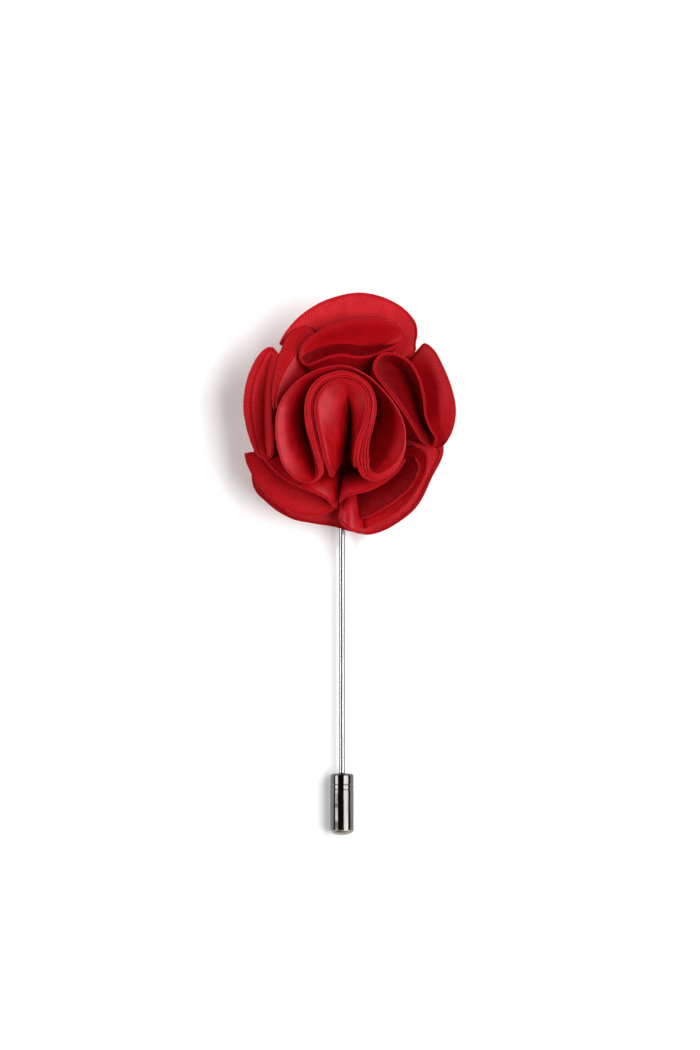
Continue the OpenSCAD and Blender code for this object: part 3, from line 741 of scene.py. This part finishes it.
petals["lipRight"] = dict(
    fan=(290, 0.8), face="satin", roll=(0.5, 0.05), floor=(0.2, 0.4), slot="satin_ribbon", edge=0.5,
    ends=(0.0, 0.6), more=([(11.5, -7.9, 10.4)], ()), seed=4.0,
    root=(6.4, 0.6, 0.4),
    rows=[(10.2, -9.8, 11.2), (8.7, -11.2, 11.8), (7.0, -12.4, 12.4), (4.9, -13.4, 12.7),
          (2.6, -14.0, 12.6), (0.7, -14.6, 12.0), (-0.3, -15.6, 11.2)],
)
# Face and rim take the painted light copy of the ribbed look, with finer ribs
petals["topPetal"] = dict(
    fan=(92, 0.9), face="paintedLightFineRib", band="paintedLightFineRib", edge=0.3, grooves=((0.5, 0.0),), roll=(0.42, 0.10),
    floor=(0.25, 0.5), ends=(0.5, 0.3), stitched=False, seed=5.0, more=((), [(13.3, 11.7, 8.7)]),
    root=(10.6, 0.8, 0.3),
    rows=[(-11.3, 12.9, 9.4, 11.2, 0.75, 0.3), (-10.1, 15.0, 9.9, 11.2, 0.75, 0.3),
          (-7.6, 17.8, 10.4, 11.0, 0.75, 0.35), (-4.0, 20.2, 10.8, 10.6, 0.75, 0.4),
          (0.0, 21.6, 11.1, 10.6, 0.75, 0.4), (3.6, 22.0, 11.2, 10.6, 0.75, 0.35),
          (7.4, 21.2, 11.0, 10.6, 0.8, 0.35), (10.8, 19.4, 10.6), (13.0, 17.0, 10.1), (13.5, 14.9, 9.6),
          (13.2, 12.9, 9.2)],
)
# Its front wall, the other rows, takes the painted shade copy of the ribbed look
petals["topFold"] = dict(
    fan=(90, 0.75), closed=True, tips=(0.4, 8.8), face="grain", other="paintedShadeRib", otherRows=(9, 17),
    edge=[(0, 0.5), (3, 0.65), (7, 0.65), (9, 0.45), (16, 0.45)],
    valley=[(-6.2, 11.2, 11.2), (-3.6, 12.4, 10.4), (0.0, 12.9, 10.0), (3.0, 12.6, 9.8), (5.6, 12.5, 9.6),
            (7.2, 12.9, 9.8)],
    roll=[(0, 0.3, 0.1), (5, 0.3, 0.1), (7, 0.33, 0.25), (9, 0.33, 0.25), (11, 0.25, 0.15), (16, 0.3, 0.1)],
    floor=[(0, 0.3, 0.1), (5, 0.3, 0.15), (7, 0.3, 0.2), (9, 0.3, 0.2), (11, 0.3, 0.15)], seed=6.0,
    root=(8.9, 0.75, 0.4),
    rows=[(-7.7, 10.4, 12.2, 7.0, 0.7, 0.45), (-7.2, 12.4, 12.2, 8.4), (-5.2, 14.4, 12.4),
          (-2.4, 16.0, 12.8), (1.0, 17.0, 13.0), (4.6, 17.4, 13.0), (8.2, 17.0, 12.7),
          (10.6, 15.8, 12.2, 8.4), (11.3, 14.0, 11.9, 7.2, 0.7, 0.45), (10.0, 12.4, 11.9, 6.1, 0.65, 0.5),
          (7.4, 11.3, 12.1, 5.4, 0.6, 0.5), (5.0, 10.4, 12.5, 5.4, 0.6, 0.5),
          (2.4, 10.2, 12.7, 5.4, 0.6, 0.5), (0.0, 10.6, 12.7, 5.4, 0.6, 0.5),
          (-2.4, 10.2, 12.6, 5.4, 0.6, 0.5), (-4.4, 9.4, 12.4, 5.4, 0.6, 0.5),
          (-6.4, 8.9, 12.2, 5.7, 0.6, 0.5)],
)
# Its inner face takes the painted shade copy of the ribbed look
petals["rightFold"] = dict(
    fan=(22, 0.75), closed=True, tips=(16.4, 7.2), face="paintedShadeRib",
    edge=[(0, 0.5), (3, 0.75), (5, 0.6), (9, 0.45), (15, 0.45)],
    valley=[(15.8, -4.4, 9.9), (14.7, -1.8, 9.2), (13.9, 1.0, 8.8), (13.0, 4.0, 8.8), (11.6, 6.8, 9.4),
            (9.8, 8.8, 10.6), (8.2, 9.6, 11.8)],
    roll=[(0, 0.35, 0.12), (4, 0.35, 0.12), (8, 0.3, 0.15), (12, 0.3, 0.2), (16, 0.3, 0.15)],
    floor=[(0, 0.2, 0.2), (4, 0.2, 0.2), (12, 0.3, 0.2)], seed=7.0,
    root=(9.0, 0.75, 0.4),
    rows=[(14.2, -4.7, 10.9, 6.6, 0.65, 0.55), (13.0, -2.9, 11.4, 5.4, 0.6, 0.6),
          (11.6, -0.6, 12.2, 5.4, 0.6, 0.6), (9.5, 2.4, 13.0, 5.4, 0.6, 0.6),
          (7.4, 5.1, 13.6, 5.4, 0.6, 0.6), (5.8, 7.4, 13.8, 5.4, 0.6, 0.6),
          (5.6, 9.4, 13.7, 5.9, 0.65, 0.5), (6.9, 11.0, 13.5, 7.4, 0.7, 0.45), (8.8, 11.3, 13.3, 8.6),
          (10.8, 10.7, 13.1), (12.6, 9.2, 12.9), (14.0, 6.6, 12.7), (14.8, 3.4, 12.4), (15.1, 0.4, 12.1),
          (15.9, -2.0, 11.6), (17.0, -4.0, 11.0, 8.9), (16.2, -5.8, 10.8, 7.8, 0.7, 0.5)],
)
petals["rightPetal"] = dict(
    fan=(20, 0.85), face="grain", band="grain", slot="satin_ribbon", edge=0.3, grooves=((0.5, 0.0),),
    roll=[(0, 0.26, 0.24), (4, 0.3, 0.2), (6, 0.5, 0.05), (8, 0.6, 0.0)], floor=(0.2, 0.4), ends=(0.3, 0.0),
    stitched=False, seed=8.0, more=((), [(17.2, -6.0, 8.8)]),
    root=(10.4, 0.9, 0.3),
    rows=[(13.9, 12.4, 9.8), (14.9, 13.0, 10.2), (16.6, 11.6, 10.8), (18.2, 8.6, 11.2), (19.6, 5.0, 11.3),
          (20.35, 1.2, 11.0), (19.9, -2.2, 10.4), (18.6, -4.8, 9.6)],
)
# Its inner face takes the painted light copy of the ribbed look, with finer ribs
petals["leftPetal"] = dict(
    fan=(165, 0.7), closed=True, tips=(1.0, 9.4), face="paintedLightFineRib",
    edge=[(0, 0.45), (2, 0.8), (4, 1.6), (7, 1.5), (9, 0.6), (14, 0.45)],
    drop=[(0, 0), (2, 0.2), (4, 0.6), (7, 0.6), (9, 0.0)], band="ribbed", grooves=((0.9, 0.16),),
    valley=[(-13.4, -6.4, 8.4), (-13.8, -3.6, 8.0), (-13.9, 0.4, 8.0), (-13.8, 4.4, 8.4), (-13.2, 8.4, 9.0),
            (-12.6, 10.8, 9.8)],
    roll=(0.3, 0.2), floor=(0.3, 0.1), seed=9.0,
    root=(10.4, 0.75, 0.4),
    rows=[(-12.4, -7.3, 9.8, 7.4, 0.65, 0.5), (-13.7, -7.8, 9.6, 8.8, 0.7, 0.45), (-15.1, -7.0, 9.4, 10.1),
          (-16.3, -4.8, 9.5), (-17.4, -0.6, 9.9), (-17.6, 2.6, 10.2), (-17.0, 6.4, 10.4),
          (-15.6, 9.8, 10.6), (-14.0, 11.8, 10.6, 10.1), (-12.5, 12.3, 10.6, 9.4, 0.7, 0.45),
          (-11.4, 11.0, 10.8, 8.0, 0.65, 0.5), (-11.5, 8.8, 11.0, 7.3, 0.7, 0.6),
          (-12.3, 5.0, 11.2, 7.2, 0.7, 0.6), (-12.4, 0.0, 11.2, 7.2, 0.7, 0.6),
          (-12.1, -4.6, 10.6, 7.2, 0.7, 0.6)],
)
petals["leftInnerPetal"] = dict(
    fan=(145, 0.75), face="satin", band="ribbed", slot="satin_ribbon", ends=(0.5, 1.0), seed=10.0,
    edge=[(0, 0.45), (2, 0.5), (3, 0.9), (5, 1.2)], over=[(0, 0.0), (1, 0.5), (2, 1.2), (3, 1.9), (5, 2.3)],
    grooves=((0.86, 0.16),), roll=(0.45, 0.12), floor=(0.2, 0.4),
    root=(6.2, 0.8, 0.5),
    rows=[(-12.3, 1.2, 12.6), (-12.0, 4.2, 12.6), (-10.8, 7.6, 12.2, 6.4),
          (-9.4, 10.6, 11.7, 8.2, 0.8, 0.45), (-7.8, 13.3, 11.2, 9.8, 0.8, 0.4),
          (-5.6, 15.6, 10.8, 10.0, 0.7, 0.4)],
)
petals["lowerLeftPetal"] = dict(
    fan=(228, 0.8), edge=0.4, roll=(0.5, 0.10), floor=(0.12, 0.5), seed=11.0,
    root=(7.5, 0.8, 0.3),
    rows=[(-1.4, -16.8, 8.8), (-3.0, -17.5, 9.2), (-5.8, -17.9, 9.4), (-9.0, -17.2, 9.4),
          (-12.6, -15.1, 9.2), (-15.2, -12.1, 8.8), (-16.9, -8.9, 8.2, 7.5, 0.8, 0.25),
          (-17.5, -6.7, 7.4, 7.5, 0.8, 0.15)],
)
petals["lowerRightPetal"] = dict(
    fan=(312, 0.85), edge=0.4, roll=(0.4, 0.2), floor=(0.25, 0.45), seed=12.0, ends=(0.5, 0.0),
    more=((), [(3.0, -20.5, 7.4)]),
    root=(9.6, 0.9, 0.3),
    rows=[(13.0, -5.0, 10.4, 9.0), (14.6, -5.8, 10.2, 9.2), (15.4, -7.6, 9.9), (15.0, -10.2, 9.6),
          (13.6, -13.0, 9.6, 9.4), (11.6, -15.8, 9.2), (8.4, -18.2, 9.0), (5.0, -19.8, 8.8)],
)
# Its inner face takes the painted shade copy of the ribbed look
petals["lowerRightFold"] = dict(
    fan=(312, 0.8), edge=0.35, roll=(0.42, 0.12), floor=(0.25, 0.45), seed=13.0, ends=(0.5, 0.0),
    face="paintedShadeRib", more=((), [(2.4, -18.6, 8.2)]),
    root=(7.4, 0.8, 0.35),
    rows=[(13.2, -7.3, 10.9), (13.9, -8.9, 10.7), (13.4, -11.0, 10.5), (11.8, -13.4, 10.4),
          (9.2, -15.6, 10.2), (6.6, -17.2, 10.0), (4.6, -18.2, 9.6)],
)
petals["bottomFold"] = dict(
    fan=(272, 0.8), face="satin", back="satin", band="satin", slot="satin_ribbon", edge=0.3,
    roll=(0.5, 0.1), floor=(0.1, 0.4), ripple=0.3, stitched=False, grooves=((0.5, 0.0),), seed=14.0,
    root=(7.5, 0.8, 0.4),
    rows=[(4.0, -21.1, 8.2), (2.8, -21.0, 9.8, 7.5, 0.8, 0.5), (1.4, -20.4, 10.6, 7.5, 0.8, 0.6),
          (0.1, -19.4, 10.2, 7.5, 0.8, 0.5), (-0.8, -17.8, 9.0)],
)

# The collar, a fluted disc. Each rim point bows out at the height in its row's last column
collarBack = {"stitchRadius": 6.5, "bowRadius": 10.0, "holeRadius": 0.8, "z": 3.7, "wallShare": 0.8}


def collarGrid(rows, depths):
    heart, share = flower["heart"], collarBack["wallShare"]
    angle = np.arctan2(rows[:, 1] - heart[1], rows[:, 0] - heart[0])
    bow = ringPoints(angle, collarBack["bowRadius"], rows[:, 3])
    low = ringPoints(angle, collarBack["stitchRadius"], collarBack["z"])
    hole = ringPoints(angle, collarBack["holeRadius"], collarBack["z"])
    v = np.minimum(depths / share, 1)[None, :, None]
    disc = np.clip((depths - share) / (1 - share), 0, 1)[None, :, None]
    wall = (1 - v) ** 2 * rows[:, None, :3] + 2 * v * (1 - v) * bow[:, None] + v * v * low[:, None]
    return wall * (1 - disc) + hole[:, None] * disc


# Both sides take the painted light copy of the ribbed look, with finer ribs
petals["backCollar"] = dict(
    grid=collarGrid, closed=True, edge=0.5, grooves=((0.5, 0.10),), face="paintedLightFineRib", back="paintedLightFineRib",
    ripple=0.6,
    over=[(2, 0.0), (3, 0.8), (4, 0.0), (6, 0.0), (7, 1.5), (8, 0.0), (9, 0.0), (10, 0.9), (11, 0.3),
          (12, 0.0), (19, 0.0), (20, 0.3), (21, 0.6)],
    rows=[(-14.8, -2.0, 4.6, -4.2), (-13.8, 3.4, 5.0, -1.5), (-11.8, 8.6, 4.6, 0.5), (-7.6, 12.6, 4.4, -1.5),
          (-2.0, 15.2, 4.6, -4.2), (3.4, 16.0, 5.0, -1.5), (8.0, 14.6, 4.6, 0.5), (11.6, 11.4, 4.6, -1.5),
          (14.6, 6.8, 4.8, -4.2), (16.0, 1.4, 5.0, -1.5), (16.6, -3.0, 4.8, 0.5), (17.9, -6.4, 4.6, -1.5),
          (16.2, -10.8, 4.8, -4.0), (13.4, -16.2, 5.2, -2.0), (9.0, -19.7, 5.2, 1.5), (5.0, -21.2, 5.0, 3.4),
          (1.4, -20.6, 4.8, 3.5), (-1.4, -19.8, 4.8, 3.5), (-5.2, -19.2, 5.0, 2.6), (-9.4, -18.2, 5.2, -1.0),
          (-13.2, -15.3, 5.0, -4.0), (-15.6, -11.4, 4.8, -2.4)],
)


def nodeOf(name):
    # heartCore takes the place of the solid heart_core
    return "".join("_" + letter.lower() if letter.isupper() else letter for letter in name)


for name, shape in petals.items():
    petal(name, nodeOf(name), **shape)
print("petals made")

# Stitches along the selvages, in metres
stitch = {"spacing": 0.00046, "length": 0.00015, "thickness": 0.00005, "unevenness": 0.25, "seed": 5}
thread = {"dark": (0.34, 0.003, 0.006), "light": (0.62, 0.02, 0.03), "rough": 0.42, "cloud": 900}


def stitchTree():
    # Stretched balls along the seams, some a little smaller
    tree, w, given, out = newGroup("selvageStitches", [
        ("Geometry", "Geometry", None), ("Spacing", "Float", None), ("Length", "Float", None),
        ("Thickness", "Float", None), ("Unevenness", "Float", None), ("Seed", "Int", None),
        ("Thread", "Material", None),
    ], [("Geometry", "Geometry")], "GeometryNodeTree")
    spots = w.node("GeometryNodeCurveToPoints", mode="LENGTH")
    w.join(given["Geometry"], spots.inputs["Curve"])
    w.join(given["Spacing"], spots.inputs["Length"])
    ball = w.node("GeometryNodeMeshUVSphere")
    for key, value in (("Segments", 6), ("Rings", 4), ("Radius", 1)):
        ball.inputs[key].default_value = value
    size = w.node("ShaderNodeCombineXYZ")
    for axis, key in zip("XYZ", ("Thickness", "Thickness", "Length")):
        w.join(given[key], size.inputs[axis])
    vary = w.node("FunctionNodeRandomValue")
    w.join(w.math("SUBTRACT", 1, given["Unevenness"]), vary.inputs[2])
    vary.inputs[3].default_value = 1
    w.join(given["Seed"], vary.inputs["Seed"])
    scaled = w.node("ShaderNodeVectorMath", operation="SCALE")
    w.join(size.outputs[0], scaled.inputs[0])
    w.join(vary.outputs[1], scaled.inputs["Scale"])
    place = w.node("GeometryNodeInstanceOnPoints")
    for source, key in ((spots.outputs["Points"], "Points"), (ball.outputs["Mesh"], "Instance"),
                        (spots.outputs["Rotation"], "Rotation"), (scaled.outputs[0], "Scale")):
        w.join(source, place.inputs[key])
    real = w.node("GeometryNodeRealizeInstances")
    w.join(place.outputs["Instances"], real.inputs["Geometry"])
    paint = w.node("GeometryNodeSetMaterial")
    w.join(real.outputs["Geometry"], paint.inputs["Geometry"])
    w.join(given["Thread"], paint.inputs["Material"])
    w.join(paint.outputs["Geometry"], out["Geometry"])
    return tree


def threadMaterial():
    mat, w, shader = newMaterial("stitchThread")
    cloud = w.noise(w.node("ShaderNodeTexCoord").outputs["Object"], thread["cloud"])
    w.join(w.mixColor(cloud, thread["dark"], thread["light"]), shader.inputs["Base Color"])
    shader.inputs["Roughness"].default_value = thread["rough"]
    clothShine(shader, cloth["selvage"])
    return mat


def addStitches():
    data = bpy.data.curves.new("stitchPath", "CURVE")
    data.dimensions = "3D"
    for points, closed in stitchLines:
        spline = data.splines.new("POLY")
        spline.points.add(len(points) - 1)
        for target, p in zip(spline.points, points):
            target.co = (*(Vector(p) * mm + padMiddle), 1)
        spline.use_cyclic_u = closed
    path = bpy.data.objects.new("stitchPath", data)
    scene.collection.objects.link(path)
    tree = stitchTree()
    sewn = path.modifiers.new("stitches", "NODES")
    sewn.node_group = tree
    values = {"Thread": threadMaterial(), **{key.capitalize(): value for key, value in stitch.items()}}
    for item in tree.interface.items_tree:
        if item.in_out == "INPUT" and item.name in values:
            sewn[item.identifier] = values[item.name]
    bpy.context.view_layer.update()
    me = bpy.data.meshes.new_from_object(path.evaluated_get(bpy.context.evaluated_depsgraph_get()))
    me.name = "selvageStitching"
    for face in me.polygons:
        face.use_smooth = True
    made = bpy.data.objects.new("selvageStitching", me)
    scene.collection.objects.link(made)
    bpy.data.objects.remove(path)
    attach(made, "pin")
    print("stitches made,", len(me.polygons), "faces")


addStitches()

# The pull-off cap, turned round the needle's axis
capShape = {
    "shoulder": 0.5, "dome": 1.0, "bore": 0.6, "boreDeep": 8.6, "boreRings": (4, 0.2), "drillTip": 0.3,
    "mouth": (0.1, 0.02), "crimps": (2.0, 2.9), "crimpDepth": 0.05, "crimpWidth": 0.09,
    "turns": 96, "firstRing": 0.1, "ringGap": 0.25, "crimpGap": 0.04, "shoulderSteps": 8, "domeSteps": 12,
    "matteFrom": 1.02, "polishedWithin": 1, "smudgeTurn": 118, "smudgeWidth": 16,
    "smudge": [(0, 0), (2.9, 0), (3.4, 0.3), (4.2, 0.9), (5.8, 0.95), (6.4, 0.3), (7.4, 0.1), (8.2, 0.4),
               (8.7, 0.95), (10, 0.9), (11, 0)],
}


def quarter(steps, first=0):
    return [k / steps * math.pi / 2 for k in range(first, steps + 1)]


def capProfile(radius, length):
    # Radius and distance from the mouth: out of the bore, down the wall and over the dome
    shoulder, dome, bore = capShape["shoulder"], capShape["dome"], capShape["bore"]
    chamfer, lip = capShape["mouth"]
    profile = [(bore, y) for y in (capShape["boreDeep"], *capShape["boreRings"])]
    profile += [(bore + chamfer, lip), (radius - shoulder, 0)]
    for turn in quarter(capShape["shoulderSteps"], 1):
        profile.append((radius - shoulder + shoulder * math.sin(turn), shoulder - shoulder * math.cos(turn)))
    first = shoulder + capShape["firstRing"]
    stops = set(np.round(np.arange(first, length - dome, capShape["ringGap"]), 3))
    for at in capShape["crimps"]:
        stops |= {round(at + k * capShape["crimpGap"], 3) for k in range(-5, 6)}
    for y in sorted(s for s in stops if shoulder < s < length - dome):
        dent = sum(math.exp(-((y - at) / capShape["crimpWidth"]) ** 2) for at in capShape["crimps"])
        profile.append((radius - capShape["crimpDepth"] * dent, y))
    for turn in quarter(capShape["domeSteps"]):
        profile.append((radius * math.cos(turn), length - dome + dome * math.sin(turn)))
    return profile


def addCap():
    low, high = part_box("pin_cap")
    radius = (high.x - low.x) / 2 / mm
    length = (high.y - low.y) / mm
    middle = Vector(((low.x + high.x) / 2, high.y, (low.z + high.z) / 2))
    profile = capProfile(radius, length)
    bm = bmesh.new()
    count = capShape["turns"]
    angles = [2 * math.pi * k / count for k in range(count)]
    rings = [[bm.verts.new(middle + Vector((r * math.cos(angle), -y, r * math.sin(angle))) * mm)
              for angle in angles] for r, y in profile[:-1]]
    tip = bm.verts.new(middle + Vector((0, -length, 0)) * mm)
    bottom = bm.verts.new(middle + Vector((0, -capShape["boreDeep"] - capShape["drillTip"], 0)) * mm)
    for a, b, (r, y), (_, further) in zip(rings, rings[1:], profile, profile[1:]):
        # The dome is matte, with a polished ring round its tip
        matte = min(y, further) >= length - capShape["matteFrom"] and r > capShape["polishedWithin"]
        for k in range(count):
            f = bm.faces.new([a[k], a[(k + 1) % count], b[(k + 1) % count], b[k]])
            f.smooth = True
            f.material_index = int(matte)
    for ring, end in ((rings[-1], tip), (rings[0], bottom)):
        for k in range(count):
            f = bm.faces.new([ring[k], ring[(k + 1) % count], end])
            f.smooth = True
            f.material_index = int(end is tip)
    bmesh.ops.recalc_face_normals(bm, faces=bm.faces)
    me = bpy.data.meshes.new("capShell")
    bm.to_mesh(me)
    bm.free()
    smudge = me.attributes.new("smudge", "FLOAT", "POINT")
    for v in me.vertices:
        turn = math.degrees(math.atan2(v.co.z - middle.z, v.co.x - middle.x)) - capShape["smudgeTurn"]
        down = np.interp((middle.y - v.co.y) / mm, *zip(*capShape["smudge"]))
        smudge.data[v.index].value = float(down * math.exp(-(turn / capShape["smudgeWidth"]) ** 2))
    for key in ("cap", "matte"):
        me.materials.append(finish[key])
    made = bpy.data.objects.new("capShell", me)
    scene.collection.objects.link(made)
    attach(made, "cap")
    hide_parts("pin_cap")


addCap()
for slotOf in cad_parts["stick_pin"].material_slots:
    slotOf.material = finish["steel"]
print("cap and needle finished")
